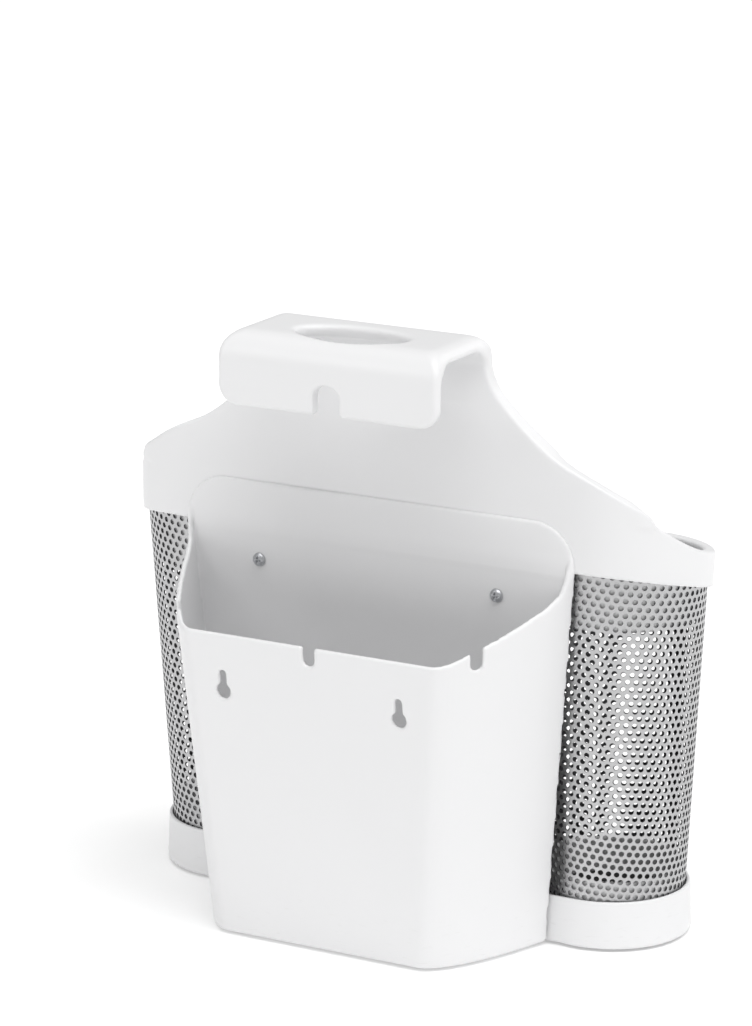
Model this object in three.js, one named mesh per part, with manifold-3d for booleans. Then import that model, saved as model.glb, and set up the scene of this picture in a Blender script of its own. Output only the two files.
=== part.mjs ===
// Hair-tool caddy: three perforated canisters held between a white top shell with an over-hook
// handle and a white base, with a cord bin on the rear. Millimetres, +Z up, user side towards -Y.
import * as THREE from 'three';
import { mergeVertices } from 'three/addons/utils/BufferGeometryUtils.js';
import Module from 'manifold-3d';

const wasm = await Module();
wasm.setup();

// ---- Clearances and wall thicknesses -------------------------------------------------------
const FIT_GAP = 0.3; // between touching pieces
const SHEET_GAP = 0.4; // between the rolled sheet and the mouldings that trap it
const SHEET_WALL = 0.8;
const BAND_WALL = 2.0;
const COLLAR_WALL = 2.0;
const DECK_WALL = 3.0;
const BIN_WALL = 2.2;
const BASE_WALL = 1.6;
const SPIGOT_WALL = 1.8;

// ---- Canisters: outside of the rolled sheet at the foot and at the head ----------------------
const FOOT_Z = 23; // top edge of the base skirt
const HEAD_Z = 175; // where the top shell turns upright
const SIDE_FOOT_X = 95.3;
const SIDE_HEAD_X = 99;
const SIDE_FOOT_R = 33.4;
const SIDE_HEAD_R = 39;
const CENTRE_FOOT_R = 39.5;
const CENTRE_HEAD_R = 46;

// ---- Body planes ----------------------------------------------------------------------------
const SHELL_REAR_Y = -51;
const BASE_REAR_Y = -59.3;
const VALLEY_Y = -112; // front of the webs between the canisters
const BAND_LOW_REAR_Z = 174.5; // lower edge of the band at the rear
const BAND_SLOPE = 0.25; // fall of that edge towards the front, mm per mm
const RIM_FRONT_Z = 173; // height the rim falls to at the front
const RIM_RISE = 33.5; // how far it climbs at the rear
const RIM_DECAY = 24; // length over which it climbs
const RIM_REAR_Y = -57;
const COLLAR_LOW_Z = 148;
const SHEET_OVERLAP = 7; // sheet hidden behind the band

// ---- Handle and panel -----------------------------------------------------------------------
const TOP_Z = 275;
const HANDLE_HALF = 54;
const HANDLE_CORNER = 10;
const HANDLE_WALL = 6.5;
const LIP_REAR_Y = -5;
const LIP_DROP = 33; // from the handle's top to the lip's lower edge
const LIP_LOW_Z = TOP_Z - LIP_DROP;
const LIP_WALL = 6;
const HOOK_REAR_R = 14;
const HOOK_FRONT_R = 9;
const HOOK_INNER_R = 9;
const PANEL_FRONT_TOP_Y = -57;
const PANEL_FRONT_LOW_Y = -63;
const PANEL_LOW_Z = 200;
const SLOT_HALF_X = 27;
const SLOT_HALF_Y = 13;
const SLOT_Y = -28;
const LIP_NOTCH_R = 6.5;
const LIP_NOTCH_RISE = 13.5;
// Shoulder line from the handle down to the lobes, half of it, as x and z
const SHOULDER = [
  [HANDLE_HALF, 260], [57.5, 250.5], [66, 241], [78, 230.5], [90, 222.3], [104, 216], [120, 206.5], [132, 198],
];

// ---- Base -----------------------------------------------------------------------------------
const FOOT_STAND = 1.5; // rubber feet below the mouldings
const BASE_FLARE = 0.8;
const BASE_DECK_Z = 12.4; // upper face of the deck
const BASE_DECK_WALL = 2.4;
const SPIGOT_TOP_Z = 32;
const PAD_THICK = 3;
const PAD_GAP = 0.6;
const FOOT_R = 6;
const FOOT_THICK = 3;
const SIDE_FOOT_OUT = 12; // feet, from the middle of their canister
const SIDE_FOOT_FORWARD = 6;
const FRONT_FOOT_X = 17;
const FRONT_FOOT_FORWARD = 20;
const BIN_FOOT_X = 44;
const BIN_FOOT_Y = -14;
const FOOT_BOSS_WALL = 2;
const FOOT_BOSS_STEP = 0.5; // from the skirt's lower edge up to the bosses' lower faces
const DECK_BITE = 1; // how deep spigots, bosses and blocks root in the deck
const SCREW_BLOCK_HALF = 4.5; // block on the base that each lower bin screw bites into
const SCREW_BLOCK_DEPTH = 9;
const SCREW_BLOCK_RISE = 5;
const SCREW_BLOCK_SET = 0.5; // its face behind the base's rear wall

// ---- Cord bin -------------------------------------------------------------------------------
const BIN_FLOOR = 2.4;
const BIN_PROUD = 1.5; // how far the back plate stands behind the shell
const BIN_FOOT = { half: 82, back: -58, c1: [74, -30], c2: [60, 0], rearHalf: 48, rear: 0 };
const BIN_HEAD = { half: 97.5, c1: [88.5, -20], c2: [73.5, 13.6], rearHalf: 62, rear: 13.6 };
const PLATE_TOP_Z = 196;
const PLATE_CORNER = 20;
// Mouth of the bin seen from the side, as y and z, from the rear wall to the back plate
const MOUTH = [
  [12, 142.5], [5, 144.6], [-2, 148], [-10, 151], [-30, 158.5], [-41, 163.5], [-46, 169], [-48.6, 179],
];
const CORD_NOTCH_W = 6;
const CORD_NOTCH_DEPTH = 8;
const CORNER_NOTCH = { x: 76, y: -3, turn: 0.72, half: 12 };
const KEYHOLE_X = 43.9;
const KEYHOLE_Z = 116.6;
const KEYHOLE_R = 3.6;
const KEYHOLE_SLOT_W = 3.6;
const KEYHOLE_RISE = 8; // from the round centre to the slot's own centre

// ---- Fasteners ------------------------------------------------------------------------------
const POST = { x: 48, y: -70, r: 5 };
const SCREW = { r: 1.5, length: 11, headR: 3.2, headH: 2.0 };
const BIN_SCREW_X = 60;
const BIN_SCREW_TOP_Z = 160;
const BIN_SCREW_LOW_Z = 13.5;
const TAB_HALF = 8;
const TAB_WALL = 4;
const TAB_LOW_Z = 151;
const TAB_SETBACK = 2; // from the shell's rear to the tab's rear half
const TAB_INSET = 1.2; // from the shell's rear to the tab's own rear face
const TAB_ROOT = 6; // height of the tab's root inside the shell, above the head
const TAB_HOLE_REACH = 12; // from the shell's rear to the end of the tab's screw hole

const ROUND = 48;
const FAR = 400; // longer than the object in every direction
const PAST = 5; // how far a cutting solid runs on past the face it opens
const RIM_RUN_OUT = 2; // how far the rim's curve runs on in front of the shell
const WELD = 0.01; // how far solids of one moulding reach into each other where only faces would meet

// ---- Solids ---------------------------------------------------------------------------------
function solid(geometry) {
  const plain = geometry.index ? geometry.toNonIndexed() : geometry.clone();
  plain.deleteAttribute('normal');
  plain.deleteAttribute('uv');
  const merged = mergeVertices(plain, 1e-5);
  return new wasm.Manifold(new wasm.Mesh({
    numProp: 3,
    vertProperties: new Float32Array(merged.attributes.position.array),
    triVerts: new Uint32Array(merged.index.array),
  }));
}

function geometryOf(body) {
  const mesh = body.getMesh();
  const geometry = new THREE.BufferGeometry();
  const positions = new Float32Array(mesh.numVert * 3);
  for (let i = 0; i < mesh.numVert; i += 1) {
    for (let k = 0; k < 3; k += 1) positions[3 * i + k] = mesh.vertProperties[mesh.numProp * i + k];
  }
  geometry.setAttribute('position', new THREE.BufferAttribute(positions, 3));
  geometry.setIndex(new THREE.BufferAttribute(new Uint32Array(mesh.triVerts), 1));
  return geometry;
}

const join = (bodies) => bodies.reduce((sum, body) => sum.add(body));

function box(x0, x1, y0, y1, z0, z1) {
  const geometry = new THREE.BoxGeometry(x1 - x0, y1 - y0, z1 - z0);
  geometry.translate((x0 + x1) / 2, (y0 + y1) / 2, (z0 + z1) / 2);
  return solid(geometry);
}

function rod(x, y, z0, z1, r, segments = 20) {
  const geometry = new THREE.CylinderGeometry(r, r, z1 - z0, segments);
  geometry.rotateX(Math.PI / 2);
  geometry.translate(x, y, (z0 + z1) / 2);
  return solid(geometry);
}

function rodAlongY(x, z, y0, y1, r, segments = 14) {
  const geometry = new THREE.CylinderGeometry(r, r, y1 - y0, segments);
  geometry.translate(x, (y0 + y1) / 2, z);
  return solid(geometry);
}

// Outline in y and z, swept along x
function sweptX(points, half) {
  const shape = new THREE.Shape(points.map(([y, z]) => new THREE.Vector2(y, z)));
  const geometry = new THREE.ExtrudeGeometry(shape, { depth: 2 * half, bevelEnabled: false });
  geometry.translate(0, 0, -half);
  geometry.applyMatrix4(new THREE.Matrix4().set(0, 0, 1, 0, 1, 0, 0, 0, 0, 1, 0, 0, 0, 0, 0, 1));
  return solid(geometry);
}

// Outline in x and z, swept along y from y0 to y1
function sweptY(shape, y0, y1) {
  const geometry = new THREE.ExtrudeGeometry(shape, { depth: y1 - y0, bevelEnabled: false, curveSegments: 10 });
  geometry.applyMatrix4(new THREE.Matrix4().set(1, 0, 0, 0, 0, 0, -1, y1, 0, 1, 0, 0, 0, 0, 0, 1));
  return solid(geometry);
}

// Straight walls between two outlines of the same number of points, one above the other
function lofted(low, lowZ, high, highZ) {
  const n = low.length;
  const positions = [];
  for (const [x, y] of low) positions.push(x, y, lowZ);
  for (const [x, y] of high) positions.push(x, y, highZ);
  const cap = THREE.ShapeUtils.triangulateShape(low.map(([x, y]) => new THREE.Vector2(x, y)), []);
  const index = [];
  for (const [a, b, c] of cap) index.push(c, b, a, a + n, b + n, c + n);
  for (let i = 0; i < n; i += 1) {
    const j = (i + 1) % n;
    index.push(i, j, j + n, i, j + n, i + n);
  }
  const geometry = new THREE.BufferGeometry();
  geometry.setAttribute('position', new THREE.Float32BufferAttribute(positions, 3));
  geometry.setIndex(index);
  return solid(geometry);
}

// An outline that runs anticlockwise, moved inwards by d with mitred corners
function inset(points, d) {
  const n = points.length;
  const normal = (a, b) => {
    const length = Math.hypot(b[0] - a[0], b[1] - a[1]);
    return [-(b[1] - a[1]) / length, (b[0] - a[0]) / length];
  };
  return points.map((point, i) => {
    const before = normal(points[(i + n - 1) % n], point);
    const after = normal(point, points[(i + 1) % n]);
    const scale = d / (1 + before[0] * after[0] + before[1] * after[1]);
    return [point[0] + (before[0] + after[0]) * scale, point[1] + (before[1] + after[1]) * scale];
  });
}

// ---- Canister surfaces ----------------------------------------------------------------------
const bandOffset = SHEET_GAP + BAND_WALL;
const baseOffset = SHEET_GAP + BASE_WALL;
const boreInset = SHEET_WALL + SHEET_GAP + COLLAR_WALL; // from the sheet's outside to the bore

function bay(name, side, footR, headR) {
  return {
    name,
    foot: { x: side * SIDE_FOOT_X, y: BASE_REAR_Y - footR - baseOffset, r: footR },
    head: { x: side * SIDE_HEAD_X, y: SHELL_REAR_Y - headR - bandOffset, r: headR },
  };
}

const BAYS = [
  bay('left', -1, SIDE_FOOT_R, SIDE_HEAD_R),
  bay('centre', 0, CENTRE_FOOT_R, CENTRE_HEAD_R),
  bay('right', 1, SIDE_FOOT_R, SIDE_HEAD_R),
];

function levelOf({ foot, head }, z) {
  const t = (z - FOOT_Z) / (HEAD_Z - FOOT_Z);
  const mix = (key) => foot[key] + (head[key] - foot[key]) * t;
  return { x: mix('x'), y: mix('y'), r: mix('r') };
}

// The canister's own cone, moved outwards by offset, between two heights
function cone(place, offset, z0, z1) {
  const low = levelOf(place, z0);
  const high = levelOf(place, z1);
  const geometry = new THREE.CylinderGeometry(high.r + offset, low.r + offset, z1 - z0, ROUND);
  geometry.rotateX(Math.PI / 2);
  const leanX = (high.x - low.x) / (z1 - z0);
  const leanY = (high.y - low.y) / (z1 - z0);
  geometry.applyMatrix4(new THREE.Matrix4().set(1, 0, leanX, 0, 0, 1, leanY, 0, 0, 0, 1, 0, 0, 0, 0, 1));
  geometry.translate((low.x + high.x) / 2, (low.y + high.y) / 2, (z0 + z1) / 2);
  return solid(geometry);
}

// The cone up to the head, then upright
function column(place, offset, z0, z1) {
  const upright = rod(place.head.x, place.head.y, HEAD_Z - WELD, z1, place.head.r + offset, ROUND);
  return cone(place, offset, z0, HEAD_Z).add(upright);
}

const rimZ = (y) => RIM_FRONT_Z + RIM_RISE * Math.exp((y - RIM_REAR_Y) / RIM_DECAY);
const bandLowZ = (y) => BAND_LOW_REAR_Z + BAND_SLOPE * (y - SHELL_REAR_Y);
const BEHIND_Y = SHELL_REAR_Y + PAST;
const FRONT_Y = BAYS[1].head.y - CENTRE_HEAD_R - bandOffset - RIM_RUN_OUT;
const shellRim = (() => {
  const steps = 14;
  const points = [];
  for (let i = 0; i <= steps; i += 1) {
    const y = RIM_REAR_Y + (FRONT_Y - RIM_REAR_Y) * (i / steps) ** 1.6;
    points.push([y, rimZ(y)]);
  }
  return points;
})();

// Everything below the rim, lowered by drop, and above the height floorZ
function belowRim(drop, floorZ) {
  const top = shellRim.map(([y, z]) => [y, z - drop]);
  return sweptX([[BEHIND_Y, floorZ], [BEHIND_Y, top[0][1]], ...top, [FRONT_Y, floorZ]].reverse(), FAR / 2);
}

// Everything above the band's lower edge
const aboveBand = sweptX([
  [BEHIND_Y, bandLowZ(BEHIND_Y)], [BEHIND_Y, FAR],
  [FRONT_Y, FAR], [FRONT_Y, bandLowZ(FRONT_Y)],
], FAR / 2);

// ---- Top shell ------------------------------------------------------------------------------
function shoulderShape() {
  const right = new THREE.SplineCurve(SHOULDER.map(([x, z]) => new THREE.Vector2(x, z))).getPoints(22);
  const left = right.map((p) => new THREE.Vector2(-p.x, p.y)).reverse();
  const shape = new THREE.Shape();
  const outer = right[right.length - 1];
  shape.moveTo(-outer.x, COLLAR_LOW_Z);
  shape.lineTo(outer.x, COLLAR_LOW_Z);
  for (const p of [...right].reverse()) shape.lineTo(p.x, p.y);
  shape.lineTo(HANDLE_HALF, TOP_Z - HANDLE_CORNER);
  shape.absarc(HANDLE_HALF - HANDLE_CORNER, TOP_Z - HANDLE_CORNER, HANDLE_CORNER, 0, Math.PI / 2, false);
  shape.absarc(-HANDLE_HALF + HANDLE_CORNER, TOP_Z - HANDLE_CORNER, HANDLE_CORNER, Math.PI / 2, Math.PI, false);
  for (const p of [...left].reverse()) shape.lineTo(p.x, p.y);
  return shape;
}

function arc(cy, cz, r, from, to, steps = 7) {
  const points = [];
  for (let i = 0; i <= steps; i += 1) {
    const a = from + ((to - from) * i) / steps;
    points.push([cy + r * Math.cos(a), cz + r * Math.sin(a)]);
  }
  return points;
}

// Side view of the hook: lip, top and the panel's upright, drawn anticlockwise
function hookProfile() {
  const lipFront = LIP_REAR_Y - LIP_WALL;
  const ceiling = TOP_Z - HANDLE_WALL;
  return [
    [LIP_REAR_Y, LIP_LOW_Z],
    ...arc(LIP_REAR_Y - HOOK_REAR_R, TOP_Z - HOOK_REAR_R, HOOK_REAR_R, 0, Math.PI / 2),
    ...arc(PANEL_FRONT_TOP_Y + HOOK_FRONT_R, TOP_Z - HOOK_FRONT_R, HOOK_FRONT_R, Math.PI / 2, Math.PI),
    [PANEL_FRONT_LOW_Y, PANEL_LOW_Z],
    [SHELL_REAR_Y, PANEL_LOW_Z],
    ...arc(SHELL_REAR_Y + HOOK_INNER_R, ceiling - HOOK_INNER_R, HOOK_INNER_R, Math.PI, Math.PI / 2),
    ...arc(lipFront - HOOK_INNER_R, ceiling - HOOK_INNER_R, HOOK_INNER_R, Math.PI / 2, 0),
    [lipFront, LIP_LOW_Z],
  ];
}

function lipShape() {
  const r = HANDLE_CORNER - 1;
  const shape = new THREE.Shape();
  shape.absarc(HANDLE_HALF - r, LIP_LOW_Z + r, r, -Math.PI / 2, 0, false);
  shape.absarc(HANDLE_HALF - HANDLE_CORNER, TOP_Z - HANDLE_CORNER, HANDLE_CORNER, 0, Math.PI / 2, false);
  shape.absarc(-HANDLE_HALF + HANDLE_CORNER, TOP_Z - HANDLE_CORNER, HANDLE_CORNER, Math.PI / 2, Math.PI, false);
  shape.absarc(-HANDLE_HALF + r, LIP_LOW_Z + r, r, Math.PI, 1.5 * Math.PI, false);
  return shape;
}

function handleCuts() {
  const slot = new THREE.Shape();
  slot.absellipse(0, 0, SLOT_HALF_X, SLOT_HALF_Y, 0, 2 * Math.PI, false, 0);
  const slotLowZ = TOP_Z - HANDLE_WALL - PAST;
  const geometry = new THREE.ExtrudeGeometry(slot, {
    depth: TOP_Z + PAST - slotLowZ, bevelEnabled: false, curveSegments: ROUND,
  });
  geometry.translate(0, SLOT_Y, slotLowZ);
  const arch = new THREE.Shape();
  arch.moveTo(-LIP_NOTCH_R, LIP_LOW_Z - PAST);
  arch.lineTo(LIP_NOTCH_R, LIP_LOW_Z - PAST);
  arch.absarc(0, LIP_LOW_Z + LIP_NOTCH_RISE - LIP_NOTCH_R, LIP_NOTCH_R, 0, Math.PI, false);
  return [solid(geometry), sweptY(arch, LIP_REAR_Y - LIP_WALL - PAST / 2, LIP_REAR_Y + PAST)];
}

function topShell() {
  const outline = join([
    ...BAYS.map((place) => column(place, bandOffset, COLLAR_LOW_Z - PAST, TOP_Z)),
    box(-SIDE_HEAD_X, SIDE_HEAD_X, VALLEY_Y, SHELL_REAR_Y, COLLAR_LOW_Z - PAST, TOP_Z),
  ]);
  const shoulders = sweptY(shoulderShape(), FRONT_Y, 0);
  const rear = box(-FAR, FAR, RIM_REAR_Y - WELD, SHELL_REAR_Y, COLLAR_LOW_Z, TOP_Z).intersect(shoulders);
  const skin = outline.intersect(belowRim(0, COLLAR_LOW_Z).add(rear)).intersect(aboveBand);
  const panelSlab = sweptX(hookProfile(), FAR / 2).intersect(shoulders).intersect(outline);
  const hook = sweptX(hookProfile(), HANDLE_HALF).intersect(
    sweptY(lipShape(), SHELL_REAR_Y - WELD, 0),
  );
  const hollow = join([
    ...BAYS.map((place) => column(place, SHEET_GAP, COLLAR_LOW_Z - 2 * PAST, TOP_Z)),
    box(
      -SIDE_HEAD_X, SIDE_HEAD_X, VALLEY_Y + BAND_WALL, SHELL_REAR_Y - BAND_WALL,
      COLLAR_LOW_Z - 2 * PAST, TOP_Z,
    ),
  ]).intersect(belowRim(DECK_WALL, COLLAR_LOW_Z - 2 * PAST));
  const bores = join(BAYS.map((place) => column(place, -boreInset, COLLAR_LOW_Z - 3 * PAST, TOP_Z + PAST)));
  const tabs = [-1, 1].map((side) => box(
    side * BIN_SCREW_X - TAB_HALF, side * BIN_SCREW_X + TAB_HALF,
    SHELL_REAR_Y - TAB_SETBACK - TAB_WALL, SHELL_REAR_Y - TAB_INSET, TAB_LOW_Z, HEAD_Z + TAB_ROOT,
  ));
  let body = skin.subtract(hollow).add(panelSlab).add(hook).subtract(bores);
  for (const tab of tabs) body = body.add(tab);
  for (const cut of handleCuts()) body = body.subtract(cut);
  for (const side of [-1, 1]) {
    body = body.subtract(rodAlongY(
      side * BIN_SCREW_X, BIN_SCREW_TOP_Z, SHELL_REAR_Y - TAB_HOLE_REACH, SHELL_REAR_Y + PAST, SCREW.r + FIT_GAP,
    ));
  }
  return body.subtract(binEnvelope(FIT_GAP));
}

// ---- Canister sheets, collars and pads ---------------------------------------------------------
const sheetLowZ = BASE_DECK_Z + FIT_GAP;
const sheetTop = sweptX([
  [BEHIND_Y, 0], [BEHIND_Y, bandLowZ(BEHIND_Y) + SHEET_OVERLAP],
  [FRONT_Y, bandLowZ(FRONT_Y) + SHEET_OVERLAP], [FRONT_Y, 0],
].reverse(), FAR / 2);

function canisterSheet(place) {
  const outside = column(place, 0, sheetLowZ, TOP_Z);
  const inside = column(place, -SHEET_WALL, sheetLowZ - PAST, TOP_Z + PAST);
  return outside.subtract(inside).intersect(sheetTop);
}

function collar(place) {
  const outside = column(place, -SHEET_WALL - SHEET_GAP, COLLAR_LOW_Z, TOP_Z);
  const inside = column(place, -boreInset, COLLAR_LOW_Z - PAST, TOP_Z + PAST);
  const underPanel = box(-FAR, FAR, -FAR, FAR, 0, PANEL_LOW_Z - FIT_GAP);
  return outside.subtract(inside).intersect(belowRim(DECK_WALL + FIT_GAP, 0)).intersect(underPanel);
}

function pad(place) {
  const z0 = BASE_DECK_Z + FIT_GAP;
  const inner = -SHEET_WALL - SHEET_GAP - SPIGOT_WALL - PAD_GAP;
  const { x, y, r } = levelOf(place, BASE_DECK_Z);
  return rod(x, y, z0, z0 + PAD_THICK, r + inner, ROUND);
}

// ---- Base -------------------------------------------------------------------------------------
function baseOuter(grow, z0, z1) {
  const rear = BASE_REAR_Y + grow;
  const lobes = BAYS.map(({ foot }) => {
    const r = foot.r + baseOffset + grow;
    const geometry = new THREE.CylinderGeometry(r, r + BASE_FLARE, z1 - z0, ROUND);
    geometry.rotateX(Math.PI / 2);
    geometry.translate(foot.x, foot.y, (z0 + z1) / 2);
    return solid(geometry);
  });
  return join([...lobes, box(-SIDE_FOOT_X, SIDE_FOOT_X, VALLEY_Y - grow, rear, z0, z1)]);
}

const FEET = [
  ['foot_left', -SIDE_FOOT_X - SIDE_FOOT_OUT, BAYS[0].foot.y - SIDE_FOOT_FORWARD],
  ['foot_right', SIDE_FOOT_X + SIDE_FOOT_OUT, BAYS[2].foot.y - SIDE_FOOT_FORWARD],
  ['foot_front_left', -FRONT_FOOT_X, BAYS[1].foot.y - FRONT_FOOT_FORWARD],
  ['foot_front_right', FRONT_FOOT_X, BAYS[1].foot.y - FRONT_FOOT_FORWARD],
];
const BIN_FEET = [['foot_bin_left', -BIN_FOOT_X, BIN_FOOT_Y], ['foot_bin_right', BIN_FOOT_X, BIN_FOOT_Y]];

function base() {
  const shell = baseOuter(0, FOOT_STAND, FOOT_Z);
  const under = baseOuter(-BASE_WALL, FOOT_STAND - PAST, BASE_DECK_Z - BASE_DECK_WALL);
  const well = baseOuter(-BASE_WALL, BASE_DECK_Z, FOOT_Z + PAST);
  const outerR = -SHEET_WALL - SHEET_GAP;
  const spigots = BAYS.map((place) => cone(place, outerR, BASE_DECK_Z - DECK_BITE, SPIGOT_TOP_Z)
    .subtract(cone(place, outerR - SPIGOT_WALL, BASE_DECK_Z - DECK_BITE - WELD, SPIGOT_TOP_Z + PAST)));
  const bossLowZ = FOOT_STAND + FOOT_BOSS_STEP;
  const bosses = FEET.map(([, x, y]) => rod(x, y, bossLowZ, BASE_DECK_Z - DECK_BITE, FOOT_R + FOOT_BOSS_WALL));
  let body = join([shell.subtract(under).subtract(well), ...spigots, ...bosses]);
  for (const [, x, y] of FEET) body = body.subtract(rod(x, y, 0, FOOT_THICK + FIT_GAP, FOOT_R + FIT_GAP));
  for (const side of [-1, 1]) {
    const screwX = side * BIN_SCREW_X;
    const y0 = BASE_REAR_Y - BASE_WALL - SCREW_BLOCK_DEPTH;
    body = body.add(box(
      screwX - SCREW_BLOCK_HALF, screwX + SCREW_BLOCK_HALF, y0, BASE_REAR_Y - SCREW_BLOCK_SET,
      BASE_DECK_Z - DECK_BITE, BIN_SCREW_LOW_Z + SCREW_BLOCK_RISE,
    ));
    body = body.subtract(rod(side * POST.x, POST.y, 0, BASE_DECK_Z + PAST, SCREW.r + FIT_GAP));
    body = body.subtract(rodAlongY(screwX, BIN_SCREW_LOW_Z, y0 - PAST, BASE_REAR_Y + PAST, SCREW.r + FIT_GAP));
  }
  return body;
}

// ---- Cord bin ----------------------------------------------------------------------------------
const plateBackY = SHELL_REAR_Y + BIN_PROUD - BIN_WALL;

function binOutline({ half, back = plateBackY, c1, c2, rearHalf, rear }) {
  const curve = new THREE.CubicBezierCurve(
    new THREE.Vector2(half, back), new THREE.Vector2(...c1),
    new THREE.Vector2(...c2), new THREE.Vector2(rearHalf, rear),
  );
  const right = curve.getPoints(16).map((p) => [p.x, p.y]);
  const left = right.map(([x, y]) => [-x, y]).reverse();
  return [...right, ...left];
}

// The upper part of the back plate, grown by grow on every side
function plateSolid(grow) {
  const half = BIN_HEAD.half + grow;
  const top = PLATE_TOP_Z + grow;
  const r = PLATE_CORNER + grow;
  const shape = new THREE.Shape();
  shape.moveTo(-half, HEAD_Z - WELD);
  shape.lineTo(half, HEAD_Z - WELD);
  shape.absarc(half - r, top - r, r, 0, Math.PI / 2, false);
  shape.absarc(-half + r, top - r, r, Math.PI / 2, Math.PI, false);
  return sweptY(shape, plateBackY - grow, plateBackY + BIN_WALL + grow);
}

// The bin as a full block with its upper plate, grown by grow on every side
function binEnvelope(grow) {
  const low = inset(binOutline(BIN_FOOT), -grow);
  const high = inset(binOutline(BIN_HEAD), -grow);
  return lofted(low, FOOT_STAND, high, HEAD_Z).add(plateSolid(grow));
}

function cordBin() {
  const footZ = FOOT_STAND;
  const low = binOutline(BIN_FOOT);
  const high = binOutline(BIN_HEAD);
  const outside = lofted(low, footZ, high, HEAD_Z);
  const lowInside = inset(low, BIN_WALL);
  const highInside = inset(high, BIN_WALL);
  // The inside starts at the floor's upper face, on the same leaning walls, and runs past the head
  const height = HEAD_Z - footZ;
  const topShare = 1 + PAST / height;
  const at = (share) => lowInside.map(([x, y], i) => {
    const [headX, headY] = highInside[i];
    return [x + (headX - x) * share, y + (headY - y) * share];
  });
  const inside = lofted(at(BIN_FLOOR / height), footZ + BIN_FLOOR, at(topShare), footZ + height * topShare);
  const mouthCurve = new THREE.SplineCurve(MOUTH.map(([y, z]) => new THREE.Vector2(y, z))).getPoints(24);
  const plateRear = plateBackY + BIN_WALL;
  const mouth = sweptX([
    [FAR / 4, MOUTH[0][1]], [FAR / 4, FAR], [plateRear + WELD, FAR], [plateRear + WELD, mouthCurve.at(-1).y],
    ...mouthCurve.reverse().map((p) => [Math.max(p.x, plateRear + WELD), p.y]),
  ], FAR / 2);
  let body = outside.subtract(inside).subtract(mouth).add(plateSolid(0));
  for (const side of [-1, 1]) body = body.subtract(keyhole(side * KEYHOLE_X)).subtract(cornerNotch(side));
  body = body.subtract(centreNotch());
  for (const side of [-1, 1]) {
    for (const z of [BIN_SCREW_TOP_Z, BIN_SCREW_LOW_Z]) {
      body = body.subtract(rodAlongY(
        side * BIN_SCREW_X, z, BIN_FOOT.back - PAST, plateRear + PAST, SCREW.r + FIT_GAP,
      ));
    }
  }
  return body;
}

function keyhole(x) {
  const shape = new THREE.Shape();
  const half = KEYHOLE_SLOT_W / 2;
  const meet = Math.asin(half / KEYHOLE_R);
  shape.absarc(x, KEYHOLE_Z + KEYHOLE_RISE, half, 0, Math.PI, false);
  shape.absarc(x, KEYHOLE_Z, KEYHOLE_R, Math.PI / 2 + meet, Math.PI / 2 - meet + 2 * Math.PI, false);
  return sweptY(shape, BIN_FOOT.rear - PAST, BIN_HEAD.rear + PAST);
}

function centreNotch() {
  const half = CORD_NOTCH_W / 2;
  const shape = new THREE.Shape();
  shape.moveTo(half, MOUTH[0][1] + PAST);
  shape.lineTo(-half, MOUTH[0][1] + PAST);
  shape.absarc(0, MOUTH[0][1] - CORD_NOTCH_DEPTH + half, half, Math.PI, 2 * Math.PI, false);
  return sweptY(shape, BIN_FOOT.rear, BIN_HEAD.rear + PAST);
}

function cornerNotch(side) {
  const { x, y, turn, half } = CORNER_NOTCH;
  const low = MOUTH[2][1] - CORD_NOTCH_DEPTH;
  const tall = PLATE_TOP_Z - low;
  const geometry = new THREE.BoxGeometry(2 * half, CORD_NOTCH_W, tall);
  geometry.rotateZ(side * turn);
  geometry.translate(side * x, y, low + tall / 2);
  return solid(geometry);
}

// ---- Fasteners ----------------------------------------------------------------------------------
// A pan-head screw whose head rests on z = 0 below and whose shank rises along +Z
function screwGeometry() {
  const dome = new THREE.EllipseCurve(0, 0, SCREW.headR, SCREW.headH, -Math.PI / 2, 0);
  const points = dome.getPoints(4).map((p) => new THREE.Vector2(Math.max(p.x, 0), p.y));
  points[0].set(0, -SCREW.headH);
  points.push(new THREE.Vector2(SCREW.r, 0), new THREE.Vector2(SCREW.r, SCREW.length - SCREW.r));
  points.push(new THREE.Vector2(0, SCREW.length));
  return new THREE.LatheGeometry(points, 14).rotateX(Math.PI / 2);
}

function tiePost() {
  const deck = rimZ(POST.y - POST.r) - DECK_WALL - FIT_GAP;
  const z0 = BASE_DECK_Z + FIT_GAP;
  return rod(0, 0, z0, deck, POST.r).subtract(rod(0, 0, z0 - PAST, z0 + SCREW.length, SCREW.r + FIT_GAP));
}

function rubberFoot(thick) {
  return rod(0, 0, 0, thick, FOOT_R);
}

// ---- Materials ----------------------------------------------------------------------------------
function finish(color, roughness, metalness = 0) {
  return new THREE.MeshStandardMaterial({ color, roughness, metalness });
}

const WHITE_PLASTIC = () => finish(0xf2f2f3, 0.35);
const STEEL_SHEET = () => finish(0xb9bbbd, 0.35, 1);
const SILICONE = () => finish(0x3a3b3d, 0.75);
const RUBBER = () => finish(0x2b2b2c, 0.85);
const ZINC = () => finish(0xa9abad, 0.4, 1);

const caddy = new THREE.Group();

function place(name, shape, material, position = [0, 0, 0]) {
  const geometry = shape.isBufferGeometry ? shape : geometryOf(shape);
  const mesh = new THREE.Mesh(geometry, material);
  mesh.name = name;
  mesh.position.set(...position);
  caddy.add(mesh);
  return mesh;
}

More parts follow.
